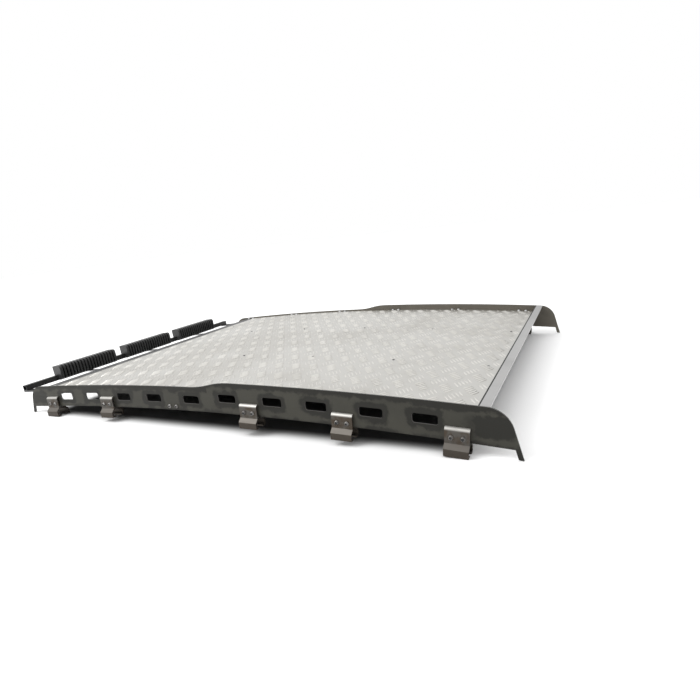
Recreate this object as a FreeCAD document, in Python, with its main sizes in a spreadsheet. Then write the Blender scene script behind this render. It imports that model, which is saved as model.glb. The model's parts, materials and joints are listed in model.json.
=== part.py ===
import FreeCAD
import Part
import Sketcher
import os

doc = FreeCAD.newDocument("roof_rack")

# Driving dimensions in millimetres, and degrees for the rake
sizes = {
    "bay_pitch": 300,            # from one cross-member to the next
    "bay_count": 5,
    "camber_radius": 11800,      # lengthwise arch of the whole rack
    "half_width": 618,           # centre plane to the outer face of a side plate
    "fit_gap": 0.4,              # between pieces that are slid together
    "plate_thickness": 4,
    "plate_top_rear": 24,        # edge above the deck, behind the step
    "plate_top_front": 6.5,      # edge above the deck, ahead of the step
    "step_start": -68,           # where the upper edge begins to rise
    "step_length": 150,
    "plate_drop": 70,            # lower edge below the deck
    "foot_drop": 93,             # tips of the end legs below the deck
    "foot_width": 12,
    "rear_foot": 150,            # rear leg's tip behind the last cross-member's line
    "front_foot": 150,           # front leg's tip ahead of the first cross-member's line
    "nose_rake": 71,             # slope of the plate's ends
    "nose_radius": 65,
    "slot_length": 65,
    "slot_height": 25,
    "slot_corner": 7,
    "slot_offset": 70.5,         # slot from the middle of its bay
    "slot_drop_rear": 24,        # slot centres below the deck
    "slot_drop_front": 34,
    "deck_thickness": 3,
    "deck_front": 4,             # deck's front edge behind the first cross-member's line
    "member_width": 40,
    "member_height": 25,
    "member_wall": 2.5,
    "panel_flange": 55,
    "panel_drop": 45,
    "panel_thickness": 3,
    "bar_start": 48,             # rear edge bar's front face behind the last cross-member's line
    "bar_width": 24,
    "bar_thickness": 4,
    "bar_leg": 22,               # bar's leg below the deck
    "seal_width": 4,
    "seal_recess": 0.6,          # seal below the bar's upper face
    "jaw_width": 60,
    "jaw_thickness": 4,
    "jaw_top": 33.5,             # lip's upper edge below the deck
    "jaw_offset": 9,             # web's outer face from the plate
    "jaw_web": 31,
    "jaw_flare": 11,             # outward step below the web
    "jaw_bottom": 103,
    "jaw_hook": 14,
    "lamp_pitch": 330,
    "lamp_length": 268,
    "lamp_height": 58,
    "lamp_depth": 46,
    "lamp_corner": 11,
    "lamp_gap": 115,             # lamp's back from the front panel
    "lamp_rise": -14,            # lamp's underside from the deck's level
    "fin_pitch": 14,
    "fin_count": 18,
    "fin_slit": 6,
    "fin_depth": 12,
    "lens_thickness": 5,
    "lens_margin": 3,
    "bracket_width": 22,
    "bracket_thickness": 4,
    "bracket_foot": 30,          # upright against the front panel
    "beam_half": 596,            # half the lamp beam's length
    "beam_depth": 22,
    "beam_height": 20,
    "beam_wall": 2,
    "arm_width": 24,
    "arm_thickness": 6,
    "arm_foot": 30,              # upright against the front panel
}

dim = doc.addObject("Spreadsheet::Sheet", "dim")
for row, (alias, value) in enumerate(sizes.items(), start=1):
    dim.set(f"A{row}", alias)
    dim.set(f"B{row}", str(value))
    dim.setAlias(f"B{row}", alias)
doc.recompute()

sub_parts = []


def value_of(expression):
    return float(dim.evalExpression(expression.replace("dim.", "")))


# Places on the arch: s runs along the deck's upper face, n stands square to it
def turn(s):
    return f"(({s}) / dim.camber_radius * 180 / pi)"


def across(s, n):
    return f"((dim.camber_radius + ({n})) * sin({turn(s)}))"


def height(s, n):
    return f"((dim.camber_radius + ({n})) * cos({turn(s)}) - dim.camber_radius)"


end_line = "(dim.bay_count / 2 * dim.bay_pitch)"
deck_front = f"({end_line} - dim.deck_front)"
bar_start = f"({end_line} + dim.bar_start)"
rear_foot = f"({end_line} + dim.rear_foot)"
front_foot = f"({end_line} + dim.front_foot)"
panel_front = f"(-{deck_front} - dim.fit_gap - dim.panel_flange)"
lens_front = "(dim.lamp_gap + dim.lamp_depth + dim.lens_thickness)"
lens_top = "(dim.lamp_rise + dim.lamp_height - dim.lens_margin)"
front_end = (f"({across(panel_front, '0')} - {lens_front} * cos({turn(panel_front)})"
             f" + {lens_top} * sin({turn(panel_front)}))")
rear_end = across(rear_foot, "-dim.foot_drop")
centre_shift = f"(-({front_end} + {rear_end}) / 2)"

crown = (f"(dim.camber_radius - (dim.camber_radius - dim.jaw_bottom) * cos({turn(end_line)})"
         f" + dim.jaw_width / 2 * sin({turn(end_line)}))")
inner_face = "(dim.half_width - dim.plate_thickness)"


def new_body(name, node=True):
    body = doc.addObject("PartDesign::Body", name)
    body.Label = name
    if node:
        sub_parts.append(body)
    return body


def datum(body, role):
    return next(item for item in body.Origin.OriginFeatures if item.Role == role)


def arc_between(start, end, radius, side):
    # The short arc, with its centre on the left of the travel for side 1
    chord = end - start
    middle = (start + end) * 0.5
    reach = chord.Length / 2
    left = FreeCAD.Vector(-chord.y, chord.x, 0).normalize()
    sag = radius - (radius ** 2 - reach ** 2) ** 0.5
    return Part.Arc(start, middle - left * (side * sag), end)


def draw(body, name, role, *loops):
    # Each corner is (x, y, bend): bend is None, or (radius, side) of the arc to the next corner
    sketch = body.newObject("Sketcher::SketchObject", name)
    sketch.AttachmentSupport = (datum(body, role), [""])
    sketch.MapMode = "FlatFace"
    shapes, rules, bindings = [], [], []
    for loop in loops:
        first = len(shapes)
        spots = [FreeCAD.Vector(value_of(x), value_of(y), 0) for x, y, bend in loop]
        for index, (x, y, bend) in enumerate(loop):
            geometry = first + index
            following = first + (index + 1) % len(loop)
            start, end = spots[index], spots[(index + 1) % len(loop)]
            if bend is None:
                shapes.append(Part.LineSegment(start, end))
                ends = (1, 2)
            else:
                arc = arc_between(start, end, value_of(bend[0]), bend[1])
                shapes.append(arc)
                ends = (1, 2) if bend[1] > 0 else (2, 1)
            rules.append((geometry, ends, following, x, y, bend))
    sketch.addGeometry(shapes, False)
    starts = {geometry: ends[0] for geometry, ends, *rest in rules}
    constraints = []
    for geometry, ends, following, x, y, bend in rules:
        constraints.append(Sketcher.Constraint("Coincident", geometry, ends[1], following, starts[following]))
        for kind, expression in (("DistanceX", x), ("DistanceY", y)):
            bindings.append((len(constraints), expression))
            constraints.append(Sketcher.Constraint(kind, -1, 1, geometry, ends[0], value_of(expression)))
        if bend is not None:
            bindings.append((len(constraints), bend[0]))
            constraints.append(Sketcher.Constraint("Radius", geometry, value_of(bend[0])))
    sketch.addConstraint(constraints)
    for index, expression in bindings:
        sketch.setExpression(f"Constraints[{index}]", expression)
    return sketch


def pad(body, sketch, length, both_ways=False):
    feature = body.newObject("PartDesign::Pad", sketch.Name + "_pad")
    feature.Profile = sketch
    feature.SideType = "Symmetric" if both_ways else "One side"
    feature.setExpression("Length", length)
    sketch.Visibility = False
    return feature


def cut(body, sketch, length, both_ways=True):
    feature = body.newObject("PartDesign::Pocket", sketch.Name + "_cut")
    feature.Profile = sketch
    feature.SideType = "Symmetric" if both_ways else "One side"
    feature.setExpression("Length", length)
    sketch.Visibility = False
    return feature


def seat(body, s, y):
    # Stands the body's own axes on the arch at s, square to the deck
    body.Placement.Rotation = FreeCAD.Rotation(FreeCAD.Vector(0, 1, 0), 1)
    body.setExpression("Placement.Base.x", f"{across(s, '0')} + {centre_shift}")
    body.setExpression("Placement.Base.y", y)
    body.setExpression("Placement.Base.z", f"{height(s, '0')} + {crown}")
    body.setExpression("Placement.Rotation.Angle", turn(s))


def straight(points):
    return [(x, y, None) for x, y in points]


def rectangle(x0, y0, x1, y1):
    return straight([(x0, y0), (x1, y0), (x1, y1), (x0, y1)])


def on_arch(points):
    return [(across(s, n), height(s, n), bend) for s, n, bend in points]


# Side plates: one outline, with the stepped upper edge, raked ends, legs and a row of slots
def plate_outline():
    tangent = "(dim.nose_radius * tan(dim.nose_rake / 2))"
    leg_lean = "((dim.foot_drop - dim.plate_drop) / tan(dim.nose_rake))"
    rear_corner = f"({rear_foot} - (dim.plate_top_rear + dim.foot_drop) / tan(dim.nose_rake))"
    front_corner = f"({front_foot} - (dim.plate_top_front + dim.foot_drop) / tan(dim.nose_rake))"
    rise = "(dim.plate_top_rear - dim.plate_top_front)"
    step_bend = f"((dim.step_length ^ 2 + {rise} ^ 2) / (4 * {rise}))"
    nose = ("dim.nose_radius", -1)
    edge = "(dim.camber_radius + {})"
    return on_arch([
        (f"-{front_foot}", "-dim.foot_drop", None),
        (f"-({front_corner} + {tangent} * cos(dim.nose_rake))",
         f"dim.plate_top_front - {tangent} * sin(dim.nose_rake)", nose),
        (f"-({front_corner} - {tangent})", "dim.plate_top_front", (edge.format("dim.plate_top_front"), -1)),
        ("dim.step_start", "dim.plate_top_front", (step_bend, 1)),
        ("dim.step_start + dim.step_length / 2", f"dim.plate_top_front + {rise} / 2", (step_bend, -1)),
        ("dim.step_start + dim.step_length", "dim.plate_top_rear", (edge.format("dim.plate_top_rear"), -1)),
        (f"{rear_corner} - {tangent}", "dim.plate_top_rear", nose),
        (f"{rear_corner} + {tangent} * cos(dim.nose_rake)",
         f"dim.plate_top_rear - {tangent} * sin(dim.nose_rake)", None),
        (rear_foot, "-dim.foot_drop", None),
        (f"{rear_foot} - dim.foot_width", "-dim.foot_drop", None),
        (f"{rear_foot} - dim.foot_width - {leg_lean}", "-dim.plate_drop",
         (edge.format("-dim.plate_drop"), 1)),
        (f"-({front_foot} - dim.foot_width - {leg_lean})", "-dim.plate_drop", None),
        (f"-({front_foot} - dim.foot_width)", "-dim.foot_drop", None),
    ])


def slot_outline(s, drop):
    long, tall = "dim.slot_length / 2", "dim.slot_height / 2"
    round_corner = ("dim.slot_corner", 1)
    inset = "dim.slot_corner"
    return on_arch([
        (f"{s} - {long} + {inset}", f"-{drop} - {tall}", None),
        (f"{s} + {long} - {inset}", f"-{drop} - {tall}", round_corner),
        (f"{s} + {long}", f"-{drop} - {tall} + {inset}", None),
        (f"{s} + {long}", f"-{drop} + {tall} - {inset}", round_corner),
        (f"{s} + {long} - {inset}", f"-{drop} + {tall}", None),
        (f"{s} - {long} + {inset}", f"-{drop} + {tall}", round_corner),
        (f"{s} - {long}", f"-{drop} + {tall} - {inset}", None),
        (f"{s} - {long}", f"-{drop} - {tall} + {inset}", round_corner),
    ])


def side_plate(name, face):
    body = new_body(name)
    pad(body, draw(body, name + "_outline", "XZ_Plane", plate_outline()), "dim.plate_thickness")
    for bay in range(sizes["bay_count"]):
        for hand, side in (("-", "front"), ("+", "rear")):
            s = f"(({bay} + 0.5 - dim.bay_count / 2) * dim.bay_pitch {hand} dim.slot_offset)"
            drop = "dim.slot_drop_front" if value_of(s) < 0 else "dim.slot_drop_rear"
            slot = draw(body, f"{name}_slot_{bay + 1}_{side}", "XZ_Plane", slot_outline(s, drop))
            cut(body, slot, "4 * dim.plate_thickness")
    body.setExpression("Placement.Base.x", centre_shift)
    body.setExpression("Placement.Base.y", face)
    body.setExpression("Placement.Base.z", crown)


side_plate("left_side_plate", f"-{inner_face}")
side_plate("right_side_plate", "dim.half_width")


# Deck: one arched sheet between the plates
deck = new_body("deck_sheet")
deck_outline = on_arch([
    (f"-{deck_front}", "-dim.deck_thickness", ("dim.camber_radius - dim.deck_thickness", -1)),
    (bar_start, "-dim.deck_thickness", None),
    (bar_start, "0", ("dim.camber_radius", 1)),
    (f"-{deck_front}", "0", None),
])
pad(deck, draw(deck, "deck_outline", "XZ_Plane", deck_outline), f"2 * ({inner_face} - dim.fit_gap)", True)
deck.setExpression("Placement.Base.x", centre_shift)
deck.setExpression("Placement.Base.z", crown)


# Cross-members: rectangular tubes under the deck, end to end between the plates
def cross_member(name, line):
    body = new_body(name)
    half, wall = "dim.member_width / 2", "dim.member_wall"
    top, low = "-dim.deck_thickness", "-dim.deck_thickness - dim.member_height"
    outer = rectangle(f"-{half}", low, half, top)
    inner = rectangle(f"-{half} + {wall}", f"{low} + {wall}", f"{half} - {wall}", f"{top} - {wall}")
    pad(body, draw(body, name + "_section", "XZ_Plane", outer, inner), f"2 * {inner_face}", True)
    seat(body, bay_line(line), "0")


def bay_line(line):
    return f"(({line} - dim.bay_count / 2) * dim.bay_pitch)"


lines = range(sizes["bay_count"] + 1)
for line in lines:
    cross_member(f"cross_member_{line + 1}", line)


# Front panel: folded strip level with the deck, turned down at the front
panel = new_body("front_panel")
panel_section = straight([
    ("0", "0"),
    ("0", "-dim.panel_drop"),
    ("dim.panel_thickness", "-dim.panel_drop"),
    ("dim.panel_thickness", "-dim.panel_thickness"),
    ("dim.panel_flange", "-dim.panel_thickness"),
    ("dim.panel_flange", "0"),
])
pad(panel, draw(panel, "panel_section", "XZ_Plane", panel_section), f"2 * {inner_face}", True)
seat(panel, panel_front, "0")


# Rear edge bar: angle with its upper face level with the plates, and the seal in front of it
edge_bar = new_body("rear_edge_bar")
bar_section = straight([
    ("0", "-dim.bar_leg"),
    ("dim.bar_thickness", "-dim.bar_leg"),
    ("dim.bar_thickness", "dim.plate_top_rear - dim.bar_thickness"),
    ("dim.bar_width", "dim.plate_top_rear - dim.bar_thickness"),
    ("dim.bar_width", "dim.plate_top_rear"),
    ("0", "dim.plate_top_rear"),
])
pad(edge_bar, draw(edge_bar, "bar_section", "XZ_Plane", bar_section), f"2 * {inner_face}", True)
seat(edge_bar, bar_start, "0")

seal = new_body("rear_seal")
seal_section = rectangle("-dim.seal_width", "0", "0", "dim.plate_top_rear - dim.seal_recess")
pad(seal, draw(seal, "seal_section", "XZ_Plane", seal_section), f"2 * ({inner_face} - dim.fit_gap)", True)
seat(seal, bar_start, "0")


# Clamp jaws: bent strips that bear on the plate with a rolled lip and hook under the rail
def jaw(name, line, face, outward, node=True):
    body = new_body(name, node)
    skew = "dim.jaw_thickness * tan(22.5)"
    lip = "-dim.jaw_top - dim.jaw_offset"
    web = f"{lip} - dim.jaw_web"
    flare = f"{web} - dim.jaw_flare"
    outer, wide = "dim.jaw_offset", "(dim.jaw_offset + dim.jaw_flare)"
    strip = "dim.jaw_thickness"
    mouth = f"{wide} - dim.jaw_hook"
    points = [
        ("0", "-dim.jaw_top", ("dim.jaw_offset", -outward)),
        (outer, lip, None),
        (outer, web, None),
        (wide, flare, None),
        (wide, "-dim.jaw_bottom", None),
        (mouth, "-dim.jaw_bottom", None),
        (mouth, f"-dim.jaw_bottom + {strip}", None),
        (f"{wide} - {strip}", f"-dim.jaw_bottom + {strip}", None),
        (f"{wide} - {strip}", f"{flare} - {skew}", None),
        (f"{outer} - {strip}", f"{web} - {skew}", None),
        (f"{outer} - {strip}", lip, (f"dim.jaw_offset - {strip}", outward)),
        ("0", f"-dim.jaw_top - {strip}", None),
    ]
    section = [(f"{outward} * ({u})", n, bend) for u, n, bend in points]
    pad(body, draw(body, name + "_section", "YZ_Plane", section), "dim.jaw_width", True)
    seat(body, bay_line(line), face)
    return body


# The third clamp on the left side is missing
held = {"left": [line for line in lines if line != 2], "right": list(lines)}
for side, hand in (("left", -1), ("right", 1)):
    for line in held[side]:
        jaw(f"{side}_clamp_{line + 1}", line, f"{hand} * dim.half_width", hand)

for side, hand in (("left", -1), ("right", 1)):
    row = doc.addObject("Part::Compound", f"{side}_inner_jaws")
    row.Label = f"{side}_inner_jaws"
    row.Links = [jaw(f"{side}_inner_jaw_{line + 1}", line, f"{hand} * {inner_face}", -hand, node=False)
                 for line in held[side]]
    sub_parts.append(row)


# Lamps: finned housings that sit over a beam, on straps from the front panel
lamp_low, lamp_top = "dim.lamp_rise", "(dim.lamp_rise + dim.lamp_height)"
lamp_back, lamp_front = "-dim.lamp_gap", "(-dim.lamp_gap - dim.lamp_depth)"
beam_back, beam_top = f"({lamp_front} + dim.beam_depth)", "(dim.lamp_rise + dim.beam_height)"

beam = new_body("lamp_beam")
beam_outer = rectangle(lamp_front, lamp_low, beam_back, beam_top)
beam_inner = rectangle(f"{lamp_front} + dim.beam_wall", f"{lamp_low} + dim.beam_wall",
                       f"{beam_back} - dim.beam_wall", f"{beam_top} - dim.beam_wall")
pad(beam, draw(beam, "beam_section", "XZ_Plane", beam_outer, beam_inner), "2 * dim.beam_half", True)
seat(beam, panel_front, "0")


def strap(name, y, width, thickness, foot):
    body = new_body(name)
    section = straight([
        (lamp_front, f"{lamp_low} - {thickness}"),
        (f"-{thickness}", f"{lamp_low} - {thickness}"),
        (f"-{thickness}", f"{lamp_low} - {foot}"),
        ("0", f"{lamp_low} - {foot}"),
        ("0", lamp_low),
        (lamp_front, lamp_low),
    ])
    pad(body, draw(body, name + "_section", "XZ_Plane", section), width, True)
    seat(body, panel_front, y)


def lamp_housing(name, y):
    body = new_body(name)
    corner, bend = "dim.lamp_corner", ("dim.lamp_corner", 1)
    section = [
        (beam_back, lamp_low, None),
        (f"{lamp_back} - {corner}", lamp_low, bend),
        (lamp_back, f"{lamp_low} + {corner}", None),
        (lamp_back, f"{lamp_top} - {corner}", bend),
        (f"{lamp_back} - {corner}", lamp_top, None),
        (lamp_front, lamp_top, None),
        (lamp_front, beam_top, None),
        (beam_back, beam_top, None),
    ]
    pad(body, draw(body, name + "_section", "XZ_Plane", section), "dim.lamp_length", True)
    first = "-(dim.fin_count - 1) / 2 * dim.fin_pitch"
    slit = rectangle(f"{first} - dim.fin_slit / 2", f"{lamp_low} - dim.lamp_corner",
                     f"{first} + dim.fin_slit / 2", f"{lamp_top} + dim.lamp_corner")
    slit_cut = cut(body, draw(body, name + "_slit", "YZ_Plane", slit), "dim.lamp_gap + dim.fin_depth", False)
    doc.recompute()
    fins = body.newObject("PartDesign::LinearPattern", name + "_fins")
    fins.Originals = [slit_cut]
    fins.Direction = (datum(body, "Y_Axis"), [""])
    fins.setExpression("Length", "(dim.fin_count - 1) * dim.fin_pitch")
    fins.setExpression("Occurrences", "dim.fin_count")
    body.Tip = fins
    seat(body, panel_front, y)


def lamp_lens(name, y):
    body = new_body(name)
    section = rectangle(f"{lamp_front} - dim.lens_thickness", f"{beam_top} + dim.lens_margin",
                        lamp_front, f"{lamp_top} - dim.lens_margin")
    length = "dim.lamp_length - 2 * dim.lens_margin"
    pad(body, draw(body, name + "_section", "XZ_Plane", section), length, True)
    seat(body, panel_front, y)


for side, hand in (("left", -1), ("right", 1)):
    strap(f"{side}_lamp_arm", f"{hand} * (dim.beam_half - dim.arm_width / 2)",
          "dim.arm_width", "dim.arm_thickness", "dim.arm_foot")
for side, hand in (("left", -1), ("middle", 0), ("right", 1)):
    place = f"{hand} * dim.lamp_pitch"
    lamp_housing(f"{side}_lamp_housing", place)
    lamp_lens(f"{side}_lamp_lens", place)
    strap(f"{side}_lamp_bracket", place, "dim.bracket_width", "dim.bracket_thickness", "dim.bracket_foot")

doc.recompute()

faulty = [item.Label for item in doc.Objects if {"Invalid", "Error"} & set(item.State)]
faulty += [item.Label for item in sub_parts if item.Shape.isNull() or not item.Shape.isValid()]
if faulty:
    raise RuntimeError("these did not build: " + ", ".join(faulty))

os.makedirs("parts", exist_ok=True)
for item in sub_parts:
    item.Shape.exportStep(f"parts/{item.Label}.step")
    box = item.Shape.BoundBox
    print(f"{item.Label}: {box.XMin:.1f}..{box.XMax:.1f}, {box.YMin:.1f}..{box.YMax:.1f}, "
          f"{box.ZMin:.1f}..{box.ZMax:.1f}, {item.Shape.Volume / 1000:.1f} cm3")
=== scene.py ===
import bpy
import bmesh
import json
import math
from mathutils import Matrix, Vector


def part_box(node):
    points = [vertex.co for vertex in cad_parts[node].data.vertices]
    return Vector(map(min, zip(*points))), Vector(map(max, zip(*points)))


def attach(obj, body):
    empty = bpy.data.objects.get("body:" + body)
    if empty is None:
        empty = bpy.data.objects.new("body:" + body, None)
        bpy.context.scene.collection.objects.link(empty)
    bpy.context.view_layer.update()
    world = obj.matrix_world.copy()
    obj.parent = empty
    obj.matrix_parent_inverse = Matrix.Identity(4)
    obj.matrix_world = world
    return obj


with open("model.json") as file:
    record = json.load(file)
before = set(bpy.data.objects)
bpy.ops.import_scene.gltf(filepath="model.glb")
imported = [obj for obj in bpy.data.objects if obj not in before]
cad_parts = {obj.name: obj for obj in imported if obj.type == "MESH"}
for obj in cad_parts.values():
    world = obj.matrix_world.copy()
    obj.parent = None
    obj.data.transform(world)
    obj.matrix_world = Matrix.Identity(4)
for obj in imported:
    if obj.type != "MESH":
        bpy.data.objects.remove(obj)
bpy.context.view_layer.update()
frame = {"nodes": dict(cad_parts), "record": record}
nodes = frame["nodes"]
scene = bpy.context.scene

# The arch that the whole rack follows: s along the deck, n square to it, both in metres
arch = {"radius": 11.8}
deckLow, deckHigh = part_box("deck_sheet")
firstMember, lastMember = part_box("cross_member_1"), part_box("cross_member_6")
archMiddle = (firstMember[0].x + lastMember[1].x) / 2
archCrown = deckHigh.z
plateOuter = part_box("right_side_plate")[1].y
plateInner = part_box("right_side_plate")[0].y
bayPitch, lineCount = 0.300, 6
bayLines = [(line - (lineCount - 1) / 2) * bayPitch for line in range(lineCount)]


def onArch(s, y, n):
    angle = s / arch["radius"]
    reach = arch["radius"] + n
    return Vector((archMiddle + reach * math.sin(angle), y, archCrown - arch["radius"] + reach * math.cos(angle)))


def upFrom(s):
    angle = s / arch["radius"]
    return Vector((math.sin(angle), 0, math.cos(angle)))


print("frame loaded, arch middle", round(archMiddle, 4), "crown", round(archCrown, 4))


# Node helpers for the materials
def newMaterial(name):
    material = bpy.data.materials.new(name)
    material.use_nodes = True
    tree = material.node_tree
    shader = next(node for node in tree.nodes if node.type == "BSDF_PRINCIPLED")
    return material, tree, shader


def addNode(tree, kind, settings=None, inputs=None):
    node = tree.nodes.new(kind)
    for key, value in (settings or {}).items():
        setattr(node, key, value)
    for key, value in (inputs or {}).items():
        if isinstance(value, bpy.types.NodeSocket):
            tree.links.new(value, node.inputs[key])
        else:
            node.inputs[key].default_value = value
    return node


def compute(tree, operation, first, second=0.0, third=0.0, clamp=False):
    node = addNode(tree, "ShaderNodeMath", {"operation": operation, "use_clamp": clamp})
    for slot, value in enumerate((first, second, third)):
        if isinstance(value, bpy.types.NodeSocket):
            tree.links.new(value, node.inputs[slot])
        else:
            node.inputs[slot].default_value = value
    return node.outputs[0]


def stepDown(tree, value, near, far):
    # 1 below near, 0 above far
    node = addNode(tree, "ShaderNodeMapRange", {"interpolation_type": "SMOOTHSTEP"})
    tree.links.new(value, node.inputs["Value"])
    for key, setting in (("From Min", near), ("From Max", far), ("To Min", 1.0), ("To Max", 0.0)):
        node.inputs[key].default_value = setting
    return node.outputs["Result"]


def noise(tree, where, scale, detail=4.0, roughness=0.55, stretch=None):
    source = where
    if stretch:
        source = addNode(tree, "ShaderNodeMapping", inputs={"Vector": where, "Scale": stretch}).outputs[0]
    node = addNode(tree, "ShaderNodeTexNoise", inputs={"Vector": source, "Scale": scale, "Detail": detail,
                                                       "Roughness": roughness})
    return node.outputs["Fac"]


def mixColour(tree, factor, first, second):
    node = addNode(tree, "ShaderNodeMix", {"data_type": "RGBA"})
    for slot, value in ((0, factor), (6, first), (7, second)):
        if isinstance(value, bpy.types.NodeSocket):
            tree.links.new(value, node.inputs[slot])
        else:
            node.inputs[slot].default_value = value
    return node.outputs[2]


def bumpFrom(tree, height, strength, distance):
    node = addNode(tree, "ShaderNodeBump", inputs={"Height": height, "Strength": strength, "Distance": distance})
    return node.outputs["Normal"]


def grey(level, warm=0.0):
    return (level * (1 + warm), level, level * (1 - warm), 1.0)


# Shared effect: blotches and fine scratches of used metal
def buildWearGroup():
    group = bpy.data.node_groups.new("wornMetal", "ShaderNodeTree")
    group.interface.new_socket("Vector", in_out="INPUT", socket_type="NodeSocketVector")
    for name, value in (("Blotch Scale", 9.0), ("Scratch Scale", 60.0)):
        group.interface.new_socket(name, in_out="INPUT", socket_type="NodeSocketFloat").default_value = value
    for name in ("Blotch", "Scratch"):
        group.interface.new_socket(name, in_out="OUTPUT", socket_type="NodeSocketFloat")
    start = group.nodes.new("NodeGroupInput")
    end = group.nodes.new("NodeGroupOutput")
    blotch = addNode(group, "ShaderNodeTexNoise", inputs={"Vector": start.outputs["Vector"],
                     "Scale": start.outputs["Blotch Scale"], "Detail": 5.0, "Roughness": 0.6})
    drawn = addNode(group, "ShaderNodeMapping", inputs={"Vector": start.outputs["Vector"], "Scale": (0.06, 1.0, 1.0)})
    scratch = addNode(group, "ShaderNodeTexNoise", inputs={"Vector": drawn.outputs[0],
                      "Scale": start.outputs["Scratch Scale"], "Detail": 6.0, "Roughness": 0.7})
    group.links.new(blotch.outputs["Fac"], end.inputs["Blotch"])
    group.links.new(scratch.outputs["Fac"], end.inputs["Scratch"])
    return group


wearGroup = buildWearGroup()


def worn(tree, where, blotchScale, scratchScale):
    node = addNode(tree, "ShaderNodeGroup")
    node.node_tree = wearGroup
    tree.links.new(where, node.inputs["Vector"])
    node.inputs["Blotch Scale"].default_value = blotchScale
    node.inputs["Scratch Scale"].default_value = scratchScale
    return node.outputs["Blotch"], node.outputs["Scratch"]


def objectPlace(tree):
    return addNode(tree, "ShaderNodeTexCoord").outputs["Object"]


def distance(tree, first, second):
    return compute(tree, "SQRT", compute(tree, "ADD", compute(tree, "MULTIPLY", first, first),
                                         compute(tree, "MULTIPLY", second, second)))


def archPlace(tree, where):
    # s along the arch and n above the deck line, with the arch taken as a parabola
    split = addNode(tree, "ShaderNodeSeparateXYZ", inputs={0: where})
    s = compute(tree, "SUBTRACT", split.outputs["X"], archMiddle)
    sag = compute(tree, "DIVIDE", compute(tree, "MULTIPLY", s, s), 2 * arch["radius"])
    n = compute(tree, "ADD", compute(tree, "SUBTRACT", split.outputs["Z"], archCrown), sag)
    return split, s, n


# Side plates: dull grey paint, darker brushed bands round slots and along edges, and inner faces painted lighter as
# painted bounce light from the deck
platePaint = {"light": (0.0405, 0.0390, 0.0310, 1.0), "dark": (0.0045, 0.0043, 0.0034, 1.0),
              "bounceLitInside": (0.128, 0.116, 0.096, 1.0), "edge": grey(0.13), "roughness": 0.52, "specular": 0.23,
              "slotHalf": (0.0325, 0.0125), "slotOffset": 0.0705, "dropFront": -0.034, "dropRear": -0.024,
              "topFront": 0.0065, "topRear": 0.024, "bottom": -0.070, "ragged": 0.046, "halo": (0.004, 0.020),
              "topBand": (0.006, 0.020), "lowBand": (-0.002, 0.010), "lowShare": 0.7, "patch": (0.786, -0.020),
              "patchEdge": (0.011, 0.0308), "patchShare": 0.38, "darkShare": 0.97, "blotchShare": 0.7,
              "bareLevel": 0.28}


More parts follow.
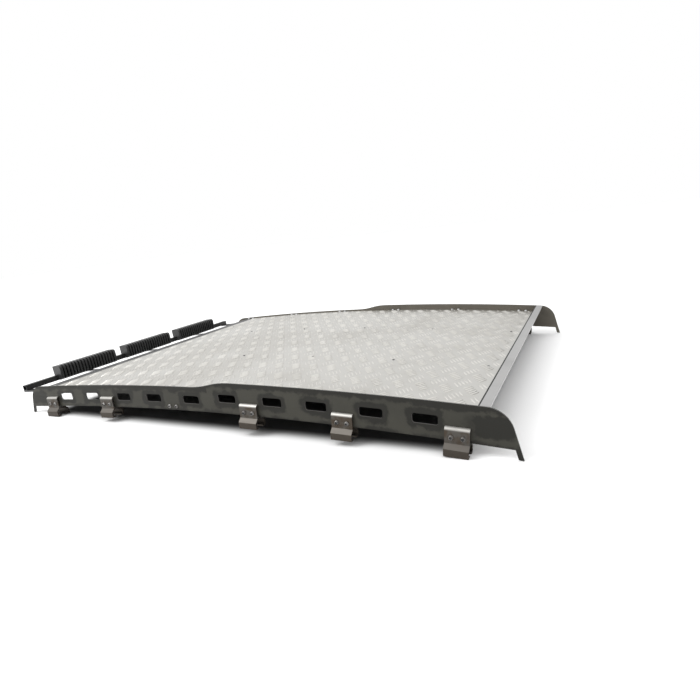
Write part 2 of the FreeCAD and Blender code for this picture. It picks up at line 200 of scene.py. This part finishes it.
def makePlatePaint(cfg=platePaint):
    material, tree, shader = newMaterial("platePaint")
    where = objectPlace(tree)
    split, s, n = archPlace(tree, where)
    rear = compute(tree, "GREATER_THAN", s, 0.0)
    ragged = noise(tree, where, 30.0, 6.0, 0.62)
    wander = compute(tree, "MULTIPLY", compute(tree, "SUBTRACT", ragged, 0.5), cfg["ragged"])
    # Distance to the nearest slot of the row
    inBay = compute(tree, "SUBTRACT", compute(tree, "MODULO", compute(tree, "ADD", s, 10 * bayPitch + bayPitch / 2),
                                              bayPitch), bayPitch / 2)
    fromMiddle = compute(tree, "ABSOLUTE", inBay)
    fromSlot = compute(tree, "ABSOLUTE", compute(tree, "SUBTRACT", fromMiddle, cfg["slotOffset"]))
    besideX = compute(tree, "MAXIMUM", compute(tree, "SUBTRACT", fromSlot, cfg["slotHalf"][0]), 0.0)
    centreZ = compute(tree, "MULTIPLY_ADD", rear, cfg["dropRear"] - cfg["dropFront"], cfg["dropFront"])
    aboutZ = compute(tree, "ABSOLUTE", compute(tree, "SUBTRACT", n, centreZ))
    besideZ = compute(tree, "MAXIMUM", compute(tree, "SUBTRACT", aboutZ, cfg["slotHalf"][1]), 0.0)
    slotGap = distance(tree, besideX, besideZ)
    slotHalo = stepDown(tree, compute(tree, "ADD", slotGap, wander), *cfg["halo"])
    # Bands along the upper and lower edges
    topLine = compute(tree, "MULTIPLY_ADD", rear, cfg["topRear"] - cfg["topFront"], cfg["topFront"])
    topGap = compute(tree, "SUBTRACT", topLine, n)
    topBand = stepDown(tree, compute(tree, "ADD", topGap, wander), *cfg["topBand"])
    lowGap = compute(tree, "SUBTRACT", n, cfg["bottom"])
    lowBand = stepDown(tree, compute(tree, "ADD", lowGap, wander), *cfg["lowBand"])
    bands = compute(tree, "MAXIMUM", topBand, compute(tree, "MULTIPLY", lowBand, cfg["lowShare"]))
    # A dark wiped patch near the rear
    fromX, fromN = (compute(tree, "SUBTRACT", value, centre) for value, centre in zip((s, n), cfg["patch"]))
    patchGap = distance(tree, fromX, fromN)
    patch = stepDown(tree, compute(tree, "ADD", patchGap, wander), *cfg["patchEdge"])
    bands = compute(tree, "MAXIMUM", bands, compute(tree, "MULTIPLY", patch, cfg["patchShare"]))
    dark = compute(tree, "MAXIMUM", slotHalo, bands, clamp=True)
    blotch, scratch = worn(tree, where, 7.0, 90.0)
    marks = compute(tree, "MULTIPLY", dark, cfg["darkShare"])
    shade = compute(tree, "MULTIPLY_ADD", blotch, cfg["blotchShare"], marks, clamp=True)
    shade = compute(tree, "SUBTRACT", shade, cfg["bareLevel"], clamp=True)
    outside = mixColour(tree, shade, cfg["light"], cfg["dark"])
    # Cut edges face up, down or along, never sideways
    normal = addNode(tree, "ShaderNodeNewGeometry").outputs["Normal"]
    across = addNode(tree, "ShaderNodeSeparateXYZ", inputs={0: normal}).outputs["Y"]
    # Faces turned in towards the deck get a lighter colour, varied by blotches: painted bounce light from the bright
    # deck
    facesIn = stepDown(tree, compute(tree, "MULTIPLY", across, compute(tree, "SIGN", split.outputs["Y"])), -0.2, 0.2)
    bounceLitInside = mixColour(tree, compute(tree, "SUBTRACT", blotch, 0.35, clamp=True), cfg["bounceLitInside"], cfg["light"])
    paint = mixColour(tree, facesIn, outside, bounceLitInside)
    sideways = compute(tree, "ABSOLUTE", across)
    cut = stepDown(tree, sideways, 0.35, 0.7)
    cut = compute(tree, "MULTIPLY", cut, compute(tree, "MULTIPLY_ADD", ragged, 0.6, 0.3))
    tree.links.new(mixColour(tree, cut, paint, cfg["edge"]), shader.inputs["Base Color"])
    rough = compute(tree, "MULTIPLY_ADD", scratch, 0.25, cfg["roughness"] - 0.12)
    tree.links.new(rough, shader.inputs["Roughness"])
    shader.inputs["Specular IOR Level"].default_value = cfg["specular"]
    tree.links.new(bumpFrom(tree, compute(tree, "ADD", scratch, blotch), 0.12, 0.0006), shader.inputs["Normal"])
    return material


# Deck: bright aluminium, a little stained, with softer shine on the ground than on the tread bars; the bars are
# painted lighter than the ground as a painted glint
deckMetal = {"colour": (0.67, 0.660, 0.630, 1.0), "stain": (0.60, 0.585, 0.55, 1.0), "roughness": 0.38}
# The tread bars are the deck's own metal, painted lighter as a painted glint
treadGlintMetal = {"colour": (0.80, 0.785, 0.745, 1.0), "stain": (0.71, 0.695, 0.655, 1.0), "roughness": 0.29}


def makeAluminium(name, colour, stain, roughness, blotchScale=3.5, drawn=70.0, bump=0.1):
    material, tree, shader = newMaterial(name)
    where = objectPlace(tree)
    blotch, scratch = worn(tree, where, blotchScale, drawn)
    mask = stepDown(tree, blotch, 0.62, 0.38)
    tree.links.new(mixColour(tree, mask, stain, colour), shader.inputs["Base Color"])
    shader.inputs["Metallic"].default_value = 1.0
    tree.links.new(compute(tree, "MULTIPLY_ADD", scratch, 0.22, roughness - 0.10), shader.inputs["Roughness"])
    tree.links.new(bumpFrom(tree, scratch, bump, 0.0004), shader.inputs["Normal"])
    return material


# Clamps: bent strip, painted lighter where it turns to the sky as a painted highlight, dull on the upright faces and
# browner below the flare
clampSteel = {"bright": (0.50, 0.49, 0.465, 1.0), "dull": (0.084, 0.078, 0.070, 1.0),
              "rust": (0.060, 0.046, 0.034, 1.0), "brown": (0.055, 0.046, 0.037, 1.0),
              "tan": (0.118, 0.108, 0.096, 1.0), "lip": -0.046, "flare": -0.083, "roughness": 0.45, "metallic": 0.75}


def makeClampSteel(cfg=clampSteel):
    material, tree, shader = newMaterial("clampSteel")
    where = objectPlace(tree)
    n = archPlace(tree, where)[2]
    normal = addNode(tree, "ShaderNodeNewGeometry").outputs["Normal"]
    upward = addNode(tree, "ShaderNodeSeparateXYZ", inputs={0: normal}).outputs["Z"]
    blotch, scratch = worn(tree, where, 30.0, 160.0)
    wavy = compute(tree, "MULTIPLY_ADD", blotch, 0.008, n)
    below = stepDown(tree, wavy, cfg["flare"] - 0.002, cfg["flare"] + 0.006)
    stained = mixColour(tree, stepDown(tree, blotch, 0.60, 0.42), cfg["dull"], cfg["rust"])
    base = mixColour(tree, below, stained, cfg["brown"])
    # Faces turned to the sky get a painted highlight: the pale colour above the lip, tan on the flare
    turned = compute(tree, "SUBTRACT", 1.0, stepDown(tree, upward, 0.02, 0.55))
    upper = stepDown(tree, compute(tree, "SUBTRACT", cfg["lip"], n), 0.0, 0.006)
    facing = mixColour(tree, upper, cfg["tan"], cfg["bright"])
    turned = compute(tree, "MULTIPLY", turned, compute(tree, "MULTIPLY_ADD", blotch, 0.4, 0.7), clamp=True)
    tree.links.new(mixColour(tree, turned, base, facing), shader.inputs["Base Color"])
    shader.inputs["Metallic"].default_value = cfg["metallic"]
    tree.links.new(compute(tree, "MULTIPLY_ADD", scratch, 0.3, cfg["roughness"] - 0.12), shader.inputs["Roughness"])
    tree.links.new(bumpFrom(tree, scratch, 0.15, 0.0005), shader.inputs["Normal"])
    return material


def makeDarkFinish(name, colour, dusty, roughness, speckle=180.0, bump=0.12):
    material, tree, shader = newMaterial(name)
    where = objectPlace(tree)
    blotch, scratch = worn(tree, where, 12.0, 70.0)
    grain = noise(tree, where, speckle, 3.0, 0.6)
    dust = compute(tree, "MULTIPLY", compute(tree, "SUBTRACT", blotch, 0.45, clamp=True), 1.5)
    tree.links.new(mixColour(tree, dust, colour, dusty), shader.inputs["Base Color"])
    tree.links.new(compute(tree, "MULTIPLY_ADD", grain, 0.2, roughness - 0.1), shader.inputs["Roughness"])
    tree.links.new(bumpFrom(tree, grain, bump, 0.0004), shader.inputs["Normal"])
    return material


# Lenses: clear covers over a row of round reflectors
lensGlass = {"bright": (0.72, 0.76, 0.80, 1.0), "rim": (0.10, 0.105, 0.11, 1.0), "chip": (0.85, 0.72, 0.30, 1.0),
             "lampPitch": 0.330, "cell": 0.0262, "cells": 10, "reflector": 0.0112, "chipSize": 0.0030,
             "roughness": 0.12, "coat": 0.6}


def makeLens(cfg=lensGlass):
    material, tree, shader = newMaterial("lampLens")
    where = objectPlace(tree)
    split = addNode(tree, "ShaderNodeSeparateXYZ", inputs={0: where})
    lensLow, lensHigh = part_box("middle_lamp_lens")
    aboutZ = compute(tree, "SUBTRACT", split.outputs["Z"], (lensLow.z + lensHigh.z) / 2)
    pitch = cfg["lampPitch"]
    inLamp = compute(tree, "MODULO", compute(tree, "ADD", split.outputs["Y"], 3.5 * pitch), pitch)
    row = compute(tree, "ADD", compute(tree, "SUBTRACT", inLamp, pitch / 2), cfg["cell"] * cfg["cells"])
    aboutY = compute(tree, "SUBTRACT", compute(tree, "MODULO", row, cfg["cell"]), cfg["cell"] / 2)
    away = distance(tree, aboutY, aboutZ)
    cup = stepDown(tree, away, cfg["reflector"] * 0.92, cfg["reflector"])
    chip = stepDown(tree, away, cfg["chipSize"] * 0.9, cfg["chipSize"])
    haze = noise(tree, where, 25.0)
    silver = mixColour(tree, compute(tree, "MULTIPLY", haze, 0.4), cfg["bright"], grey(0.30))
    colour = mixColour(tree, chip, mixColour(tree, cup, cfg["rim"], silver), cfg["chip"])
    tree.links.new(colour, shader.inputs["Base Color"])
    tree.links.new(compute(tree, "MULTIPLY", cup, 0.8), shader.inputs["Metallic"])
    tree.links.new(compute(tree, "MULTIPLY_ADD", haze, 0.1, cfg["roughness"]), shader.inputs["Roughness"])
    tree.links.new(bumpFrom(tree, away, 0.5, 0.6), shader.inputs["Normal"])
    shader.inputs["Coat Weight"].default_value = cfg["coat"]
    return material


materials = {
    "plate": makePlatePaint(),
    "deck": makeAluminium("deckAluminium", **deckMetal),
    "tread": makeAluminium("treadBarsPaintedGlint", **treadGlintMetal),
    "bar": makeAluminium("edgeBarAluminium", grey(0.54, 0.008), grey(0.46, 0.01), 0.40, drawn=110.0),
    "member": makeAluminium("memberAluminium", grey(0.50), grey(0.40), 0.42),
    "clamp": makeClampSteel(),
    "panel": makeDarkFinish("panelPaint", grey(0.030), grey(0.07), 0.42),
    "beam": makeDarkFinish("beamPaint", grey(0.014), grey(0.035), 0.40),
    "lamp": makeDarkFinish("lampCasting", grey(0.018), grey(0.045), 0.36, speckle=320.0),
    "seal": makeDarkFinish("sealRubber", grey(0.010), grey(0.025), 0.62),
    "lens": makeLens(),
    "screw": makeAluminium("screwSteel", grey(0.26, 0.03), grey(0.14, 0.05), 0.35, blotchScale=60.0),
    "strap": makeAluminium("strapSteel", grey(0.55), grey(0.40), 0.32, blotchScale=30.0),
    # Screw sockets: a near-black finish that is painted shade
    "socket": makeDarkFinish("socketPaintedShade", grey(0.012), grey(0.03), 0.5),
    "rivet": makeDarkFinish("rivetDark", grey(0.05), grey(0.12), 0.4),
}
print("materials made:", len(materials))

slotLooks = {"plate_paint": "plate", "deck_aluminium": "deck", "member_aluminium": "member", "panel_paint": "panel",
             "bar_aluminium": "bar", "seal_rubber": "seal", "clamp_steel": "clamp", "beam_paint": "beam",
             "lamp_black": "lamp", "lamp_lens": "lens"}
for row in frame["record"]["subparts"]:
    piece = nodes[row["node"]]
    piece.data.materials.clear()
    look = "strap" if row["node"].endswith("lamp_bracket") else slotLooks[row["material_slot"]]
    piece.data.materials.append(materials[look])


# Pieces from Geometry Nodes: a tree, its inputs by name, and the result as a plain mesh
def newTree(name, sockets):
    tree = bpy.data.node_groups.new(name, "GeometryNodeTree")
    tree.interface.new_socket("Geometry", in_out="INPUT", socket_type="NodeSocketGeometry")
    for label, kind in sockets:
        tree.interface.new_socket(label, in_out="INPUT", socket_type=kind)
    tree.interface.new_socket("Geometry", in_out="OUTPUT", socket_type="NodeSocketGeometry")
    return tree, tree.nodes.new("NodeGroupInput"), tree.nodes.new("NodeGroupOutput")


def settle(name, mesh, tree, values):
    carrier = bpy.data.objects.new(name + "Carrier", mesh)
    scene.collection.objects.link(carrier)
    modifier = carrier.modifiers.new("nodes", "NODES")
    modifier.node_group = tree
    sockets = {item.name: item.identifier for item in tree.interface.items_tree if item.in_out == "INPUT"}
    for label, value in values.items():
        modifier[sockets[label]] = value
    bpy.context.view_layer.update()
    graph = bpy.context.evaluated_depsgraph_get()
    made = bpy.data.meshes.new_from_object(carrier.evaluated_get(graph), depsgraph=graph)
    made.name = name
    carrier.modifiers.clear()
    bpy.data.objects.remove(carrier)
    piece = bpy.data.objects.new(name, made)
    scene.collection.objects.link(piece)
    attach(piece, "root")
    return piece


# Places on a surface, each with the way it faces
def spotMesh(name, spots):
    mesh = bpy.data.meshes.new(name)
    mesh.from_pydata([place for place, facing in spots], [], [])
    attribute = mesh.attributes.new("facing", "FLOAT_VECTOR", "POINT")
    for index, (place, facing) in enumerate(spots):
        attribute.data[index].vector = facing
    return mesh


def buildSpotTree():
    tree, start, end = newTree("piecesOnSpots", [("Pattern", "NodeSocketObject"), ("Finish", "NodeSocketMaterial"),
                                                 ("Spin", "NodeSocketFloat")])
    facing = addNode(tree, "GeometryNodeInputNamedAttribute", {"data_type": "FLOAT_VECTOR"}, {"Name": "facing"})
    turned = addNode(tree, "FunctionNodeAlignRotationToVector", {"axis": "Z"}, {"Vector": facing.outputs["Attribute"]})
    spin = addNode(tree, "FunctionNodeRandomValue", {"data_type": "FLOAT"}, {"Seed": 7})
    tree.links.new(start.outputs["Spin"], spin.inputs[3])
    about = addNode(tree, "FunctionNodeAxisAngleToRotation", inputs={"Axis": (0, 0, 1), "Angle": spin.outputs[1]})
    both = addNode(tree, "FunctionNodeRotateRotation", {"rotation_space": "LOCAL"},
                   {"Rotation": turned.outputs[0], "Rotate By": about.outputs[0]})
    pattern = addNode(tree, "GeometryNodeObjectInfo", inputs={"Object": start.outputs["Pattern"]})
    placed = addNode(tree, "GeometryNodeInstanceOnPoints", inputs={"Points": start.outputs["Geometry"],
                     "Instance": pattern.outputs["Geometry"], "Rotation": both.outputs[0]})
    real = addNode(tree, "GeometryNodeRealizeInstances", inputs={"Geometry": placed.outputs[0]})
    finish = addNode(tree, "GeometryNodeSetMaterial", inputs={"Geometry": real.outputs[0],
                     "Material": start.outputs["Finish"]})
    tree.links.new(finish.outputs[0], end.inputs[0])
    return tree


spotTree = buildSpotTree()


def patternObject(name, mesh):
    piece = bpy.data.objects.new(name, mesh)
    scene.collection.objects.link(piece)
    return piece


def turnedMesh(name, profile, sides=16, smooth=True):
    # Lathe of (radius, height) points about Z, closed at both ends
    mesh = bpy.data.meshes.new(name)
    build = bmesh.new()
    rings = []
    for radius, level in profile:
        if radius <= 0:
            rings.append([build.verts.new((0, 0, level))])
            continue
        ring = []
        for side in range(sides):
            angle = 2 * math.pi * side / sides
            ring.append(build.verts.new((radius * math.cos(angle), radius * math.sin(angle), level)))
        rings.append(ring)
    for lower, upper in zip(rings, rings[1:]):
        for side in range(sides):
            after = (side + 1) % sides
            if len(lower) == 1:
                build.faces.new((lower[0], upper[after], upper[side]))
            elif len(upper) == 1:
                build.faces.new((lower[side], lower[after], upper[0]))
            else:
                build.faces.new((lower[side], lower[after], upper[after], upper[side]))
    bmesh.ops.recalc_face_normals(build, faces=build.faces)
    for face in build.faces:
        face.smooth = smooth
    build.to_mesh(mesh)
    build.free()
    return mesh


def scatter(name, spots, pattern, finish, spin=0.0):
    values = {"Pattern": pattern, "Finish": materials[finish], "Spin": spin}
    return settle(name, spotMesh(name + "Spots", spots), spotTree, values)


# Screws of the clamps: button heads with a socket, its floor a dark disc of painted shade, two to each jaw, and two on
# the plate at the bare station
clampScrews = {"across": 0.0143, "drop": -0.0585, "web": 0.009, "bareStation": (-1, 2), "washer": 0.0062,
               "washerRise": 0.0012, "head": 0.0055, "rise": 0.0032, "socket": 0.0036, "socketFloor": 0.0030}


def clampScrewSpots(cfg=clampScrews):
    spots = []
    for sign in (-1, 1):
        for line, s in enumerate(bayLines):
            stand = 0.0 if (sign, line) == cfg["bareStation"] else cfg["web"]
            tilt = Matrix.Rotation(s / arch["radius"], 3, "Y")
            for hand in (-1, 1):
                at = onArch(s, 0, 0) + tilt @ Vector((hand * cfg["across"], 0, cfg["drop"]))
                spots.append((Vector((at.x, sign * (plateOuter + stand), at.z)), Vector((0, sign, 0))))
    return spots


def makeClampScrews(cfg=clampScrews):
    w, h, k = cfg["washer"], cfg["head"], cfg["socket"]
    low, deep = cfg["washerRise"], cfg["socketFloor"]
    top = low + cfg["rise"]
    head = patternObject("screwPattern", turnedMesh("screwPattern", [
        (0, 0), (w, 0), (w, low), (h, 0.0014), (h, 0.0030), (h * 0.85, 0.0044), (h * 0.6, top), (k, top),
        (k * 0.95, deep), (0, 0.0028)]))
    # The socket floor is a dark hex disc: painted shade in the screw's recess
    socket = patternObject("socketPattern", turnedMesh("socketPattern", [
        (0, deep), (k * 0.94, deep), (k * 0.94, 0.0036), (0, 0.0036)], sides=6, smooth=False))
    spots = clampScrewSpots()
    scatter("clamp_screws", spots, head, "screw", spin=3.0)
    scatter("clamp_screw_sockets", spots, socket, "socket", spin=3.0)
    bpy.data.objects.remove(head)
    bpy.data.objects.remove(socket)


makeClampScrews()


# Deck bolts in pairs beside the plates, and dark rivets along each cross-member
deckBolts = {"shift": -0.010, "across": 0.0150, "inset": 0.0085, "radius": 0.0065, "rise": 0.0050}
deckRivets = {"rows": (-0.242, 0.203), "radius": 0.0042, "rise": 0.0016}


def makeDeckFasteners(bolt=deckBolts, rivet=deckRivets):
    boltSpots, rivetSpots = [], []
    for s in bayLines:
        for sign in (-1, 1):
            for hand in (-1, 1):
                t = s + bolt["shift"] + hand * bolt["across"]
                boltSpots.append((onArch(t, sign * (plateInner - bolt["inset"]), 0), upFrom(t)))
        for row in rivet["rows"]:
            rivetSpots.append((onArch(s, row, 0), upFrom(s)))
    r, h = bolt["radius"], bolt["rise"]
    dome = patternObject("domePattern", turnedMesh("domePattern", [
        (0, -0.0005), (r * 1.15, -0.0005), (r * 1.15, 0.0010), (r, 0.0012), (r * 0.92, h * 0.55), (r * 0.7, h * 0.85),
        (r * 0.35, h), (0, h * 1.03)]))
    flat = patternObject("rivetPattern", turnedMesh("rivetPattern", [
        (0, -0.0004), (rivet["radius"], -0.0004), (rivet["radius"] * 0.95, rivet["rise"] * 0.6),
        (rivet["radius"] * 0.6, rivet["rise"]), (0, rivet["rise"] * 1.05)], sides=12))
    scatter("deck_bolts", boltSpots, dome, "strap", spin=3.0)
    scatter("deck_rivets", rivetSpots, flat, "rivet", spin=3.0)
    bpy.data.objects.remove(dome)
    bpy.data.objects.remove(flat)


makeDeckFasteners()
print("fasteners placed")


# Tread bars: groups of five slim bars, the groups crossed in alternate rows
tread = {"cell": (0.066, 0.102), "bars": 5, "step": 0.0122, "length": 0.033, "width": 0.0048, "rise": 0.0020,
         "lean": 57.0, "margin": 0.006}


def barMesh(cfg=tread):
    # Lens outline with a flattened crown
    mesh = bpy.data.meshes.new("treadBar")
    build = bmesh.new()
    stations = (-1.0, -0.8, -0.45, 0.0, 0.45, 0.8, 1.0)
    half, wide, rise = cfg["length"] / 2, cfg["width"] / 2, cfg["rise"]
    rows = []
    for station in stations:
        full = (1 - station * station) ** 0.6 if abs(station) < 1 else 0.0
        x = station * half
        foot, crown = wide * full, rise * full ** 0.7
        section = ((-foot, 0), (-foot * 0.5, crown), (foot * 0.5, crown), (foot, 0))
        rows.append([build.verts.new((x, y, z)) for y, z in section])
    for left, right in zip(rows, rows[1:]):
        for index in range(3):
            build.faces.new((left[index], right[index], right[index + 1], left[index + 1]))
    bmesh.ops.remove_doubles(build, verts=build.verts, dist=1e-6)
    bmesh.ops.recalc_face_normals(build, faces=build.faces)
    for face in build.faces:
        face.smooth = True
    build.to_mesh(mesh)
    build.free()
    return mesh


def treadSpots(cfg=tread):
    # One point for each bar, with the way its length runs
    cellX, cellY = cfg["cell"]
    spots = []
    low, high = deckLow.x - archMiddle + cfg["margin"], deckHigh.x - archMiddle - cfg["margin"] * 2
    wide = plateInner - cfg["margin"]
    columns = int(math.ceil((high - low) / cellX)) + 2
    rows = int(math.ceil(wide / cellY)) + 1
    lean = math.radians(cfg["lean"])
    for column in range(columns):
        for row in range(-rows, rows + 1):
            for hand, (du, dv) in ((1, (0.0, 0.0)), (-1, (0.5, 0.5))):
                centre = Vector((low + (column + du) * cellX, (row + dv) * cellY))
                along = Vector((math.cos(lean), -hand * math.sin(lean)))
                stack = Vector((math.cos(lean), hand * math.sin(lean)))
                for bar in range(cfg["bars"]):
                    at = centre + stack * ((bar - (cfg["bars"] - 1) / 2) * cfg["step"])
                    reach = along * (cfg["length"] / 2)
                    ends = [at - reach, at + reach]
                    if all(low < end.x < high and abs(end.y) < wide for end in ends):
                        spots.append((at, along))
    return spots


def makeTread(cfg=tread):
    tree, start, end = newTree("treadPattern", [("Bar", "NodeSocketObject"), ("Finish", "NodeSocketMaterial"),
                                                ("Arch Radius", "NodeSocketFloat"), ("Arch Middle", "NodeSocketFloat"),
                                                ("Arch Crown", "NodeSocketFloat")])
    facing = addNode(tree, "GeometryNodeInputNamedAttribute", {"data_type": "FLOAT_VECTOR"}, {"Name": "facing"})
    turned = addNode(tree, "FunctionNodeAlignRotationToVector", {"axis": "X", "pivot_axis": "Z"},
                     {"Vector": facing.outputs["Attribute"]})
    pattern = addNode(tree, "GeometryNodeObjectInfo", inputs={"Object": start.outputs["Bar"]})
    placed = addNode(tree, "GeometryNodeInstanceOnPoints", inputs={"Points": start.outputs["Geometry"],
                     "Instance": pattern.outputs["Geometry"], "Rotation": turned.outputs[0]})
    real = addNode(tree, "GeometryNodeRealizeInstances", inputs={"Geometry": placed.outputs[0]})
    # Wrap the flat pattern over the arch
    place = addNode(tree, "ShaderNodeSeparateXYZ", inputs={0: addNode(tree, "GeometryNodeInputPosition").outputs[0]})
    radius = start.outputs["Arch Radius"]
    angle = compute(tree, "DIVIDE", place.outputs["X"], radius)
    reach = compute(tree, "ADD", radius, place.outputs["Z"])
    x = compute(tree, "MULTIPLY_ADD", reach, compute(tree, "SINE", angle), start.outputs["Arch Middle"])
    lift = compute(tree, "SUBTRACT", compute(tree, "MULTIPLY", reach, compute(tree, "COSINE", angle)), radius)
    z = compute(tree, "ADD", lift, start.outputs["Arch Crown"])
    bent = addNode(tree, "ShaderNodeCombineXYZ", inputs={"X": x, "Y": place.outputs["Y"], "Z": z})
    moved = addNode(tree, "GeometryNodeSetPosition", inputs={"Geometry": real.outputs[0], "Position": bent.outputs[0]})
    finish = addNode(tree, "GeometryNodeSetMaterial", inputs={"Geometry": moved.outputs[0],
                     "Material": start.outputs["Finish"]})
    tree.links.new(finish.outputs[0], end.inputs[0])
    bar = patternObject("treadBar", barMesh())
    spots = [(Vector((at.x, at.y, 0)), Vector((along.x, along.y, 0))) for at, along in treadSpots()]
    values = {"Bar": bar, "Finish": materials["tread"], "Arch Radius": arch["radius"], "Arch Middle": archMiddle,
              "Arch Crown": archCrown}
    piece = settle("tread_bars", spotMesh("treadSpots", spots), tree, values)
    bpy.data.objects.remove(bar)
    print("tread bars:", len(spots), "faces:", len(piece.data.polygons))


makeTread()


# Stage, light and camera
stage = {"floor": 60.0, "floorColour": grey(0.90), "floorLight": grey(0.92), "floorRoughness": 0.8,
         "floorSpecular": 0.1, "shade": grey(0.035), "shadeMiddle": (0.02, 0.0), "shadeReach": (0.80, 0.632),
         "shadeFade": 0.07, "skyLow": 0.30, "skyHigh": 1.75, "shineLow": 0.66, "shineHigh": 1.06, "shineAhead": 0.20,
         "keyPower": 120.0, "keySize": 2.5, "keyPlace": (-2.2, -2.6, 3.4)}
view = {"fromCrown": (1.0316, -1.6629, 0.4125), "right": (0.89500, 0.43171, -0.11226),
        "up": (-0.00524, 0.26183, 0.96510), "look": (-0.44604, 0.86317, -0.23660), "focalPixels": 492.57,
        "frame": 700, "sensor": 36.0, "clipEnd": 200.0}


def makeFloor(cfg=stage):
    mesh = bpy.data.meshes.new("floor")
    half = cfg["floor"] / 2
    mesh.from_pydata([(-half, -half, 0), (half, -half, 0), (half, half, 0), (-half, half, 0)], [], [(0, 1, 2, 3)])
    floor = bpy.data.objects.new("floor", mesh)
    scene.collection.objects.link(floor)
    material, tree, shader = newMaterial("paleFloor")
    where = objectPlace(tree)
    pale = mixColour(tree, noise(tree, where, 4.0), cfg["floorColour"], cfg["floorLight"])
    # Deep shade under the rack
    split = addNode(tree, "ShaderNodeSeparateXYZ", inputs={0: where})
    under = None
    for axis, middle, reach in zip("XY", cfg["shadeMiddle"], cfg["shadeReach"]):
        away = compute(tree, "ABSOLUTE", compute(tree, "SUBTRACT", split.outputs[axis], middle))
        along = stepDown(tree, away, reach - cfg["shadeFade"], reach)
        under = along if under is None else compute(tree, "MULTIPLY", under, along)
    tree.links.new(mixColour(tree, under, pale, cfg["shade"]), shader.inputs["Base Color"])
    shader.inputs["Roughness"].default_value = cfg["floorRoughness"]
    shader.inputs["Specular IOR Level"].default_value = cfg["floorSpecular"]
    # Clear from below, so that the underside shows
    output = next(node for node in tree.nodes if node.type == "OUTPUT_MATERIAL")
    clear = addNode(tree, "ShaderNodeBsdfTransparent")
    fromBelow = addNode(tree, "ShaderNodeNewGeometry").outputs["Backfacing"]
    blend = addNode(tree, "ShaderNodeMixShader", inputs={0: fromBelow, 1: shader.outputs[0], 2: clear.outputs[0]})
    tree.links.new(blend.outputs[0], output.inputs["Surface"])
    mesh.materials.append(material)


# Sky: plain white to the camera, softer near the horizon for diffuse light than for reflections
def makeSky(cfg=stage):
    world = bpy.data.worlds.new("studio")
    scene.world = world
    world.use_nodes = True
    sky = world.node_tree
    back = next(node for node in sky.nodes if node.type == "BACKGROUND")
    path = addNode(sky, "ShaderNodeLightPath")
    toward = addNode(sky, "ShaderNodeTexCoord").outputs["Generated"]
    way = addNode(sky, "ShaderNodeSeparateXYZ", inputs={0: toward})
    rise = compute(sky, "MAXIMUM", way.outputs["Z"], 0.0)
    ahead = compute(sky, "MAXIMUM", compute(sky, "MULTIPLY", way.outputs["X"], -1.0), 0.0)
    soft = compute(sky, "MULTIPLY_ADD", rise, cfg["skyHigh"] - cfg["skyLow"], cfg["skyLow"])
    shine = compute(sky, "MULTIPLY_ADD", rise, cfg["shineHigh"] - cfg["shineLow"], cfg["shineLow"])
    shine = compute(sky, "MULTIPLY_ADD", ahead, cfg["shineAhead"], shine)
    glossy = path.outputs["Is Glossy Ray"]
    lit = compute(sky, "MULTIPLY_ADD", glossy, compute(sky, "SUBTRACT", shine, soft), soft)
    seen = path.outputs["Is Camera Ray"]
    strength = compute(sky, "MULTIPLY_ADD", seen, compute(sky, "SUBTRACT", 1.0, lit), lit)
    back.inputs["Color"].default_value = (1.0, 1.0, 1.0, 1.0)
    sky.links.new(strength, back.inputs["Strength"])


def makeKey(cfg=stage):
    lamp = bpy.data.lights.new("softKey", "AREA")
    lamp.energy = cfg["keyPower"]
    lamp.size = cfg["keySize"]
    key = bpy.data.objects.new("softKey", lamp)
    key.location = cfg["keyPlace"]
    key.rotation_euler = (-Vector(cfg["keyPlace"])).to_track_quat("-Z", "Y").to_euler()
    scene.collection.objects.link(key)


def makeCamera(cfg=view):
    lens = bpy.data.cameras.new("photoView")
    lens.sensor_width = cfg["sensor"]
    lens.sensor_fit = "HORIZONTAL"
    lens.lens = cfg["sensor"] * cfg["focalPixels"] / cfg["frame"]
    lens.clip_end = cfg["clipEnd"]
    camera = bpy.data.objects.new("photoView", lens)
    right, up, look = Vector(cfg["right"]), Vector(cfg["up"]), Vector(cfg["look"])
    turn = Matrix((right, up, -look)).transposed().to_4x4()
    camera.matrix_world = Matrix.Translation(Vector(cfg["fromCrown"]) + Vector((archMiddle, 0, archCrown))) @ turn
    scene.collection.objects.link(camera)
    scene.camera = camera


makeFloor()
makeSky()
makeKey()
makeCamera()
scene.view_settings.view_transform = "Standard"
print("stage and camera set")
